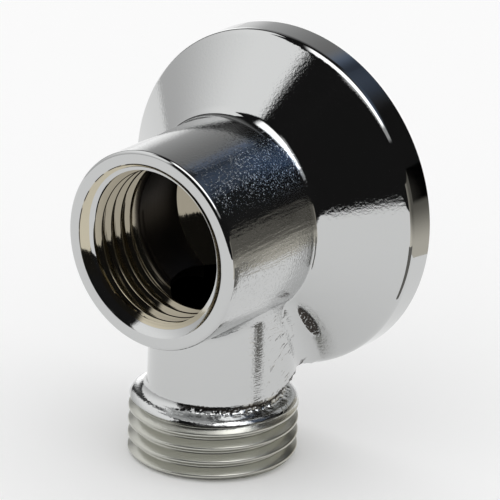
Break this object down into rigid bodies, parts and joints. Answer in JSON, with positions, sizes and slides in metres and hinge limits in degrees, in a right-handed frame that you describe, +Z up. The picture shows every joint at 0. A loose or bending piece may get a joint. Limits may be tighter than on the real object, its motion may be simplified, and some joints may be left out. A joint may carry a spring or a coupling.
{
  "type": "wall outlet elbow",
  "caption": "Chromed wall outlet elbow: threaded socket in front, flared round wall flange behind it, threaded hose outlet pointing down.",
  "frame": {"origin": "the point where the socket's axis crosses the outlet's axis", "axes": "+Y along the socket's axis towards the wall, -Y out of the socket's mouth, -Z along the outlet, +Z up"},
  "size_m": [0.0425, 0.0276, 0.0514],
  "materials": {
    "chromed_brass": "bright chrome plating over cast and turned brass"
  },
  "bodies": {
    "root": {"elbow_body": "chromed_brass"}
  },
  "joints": []
}
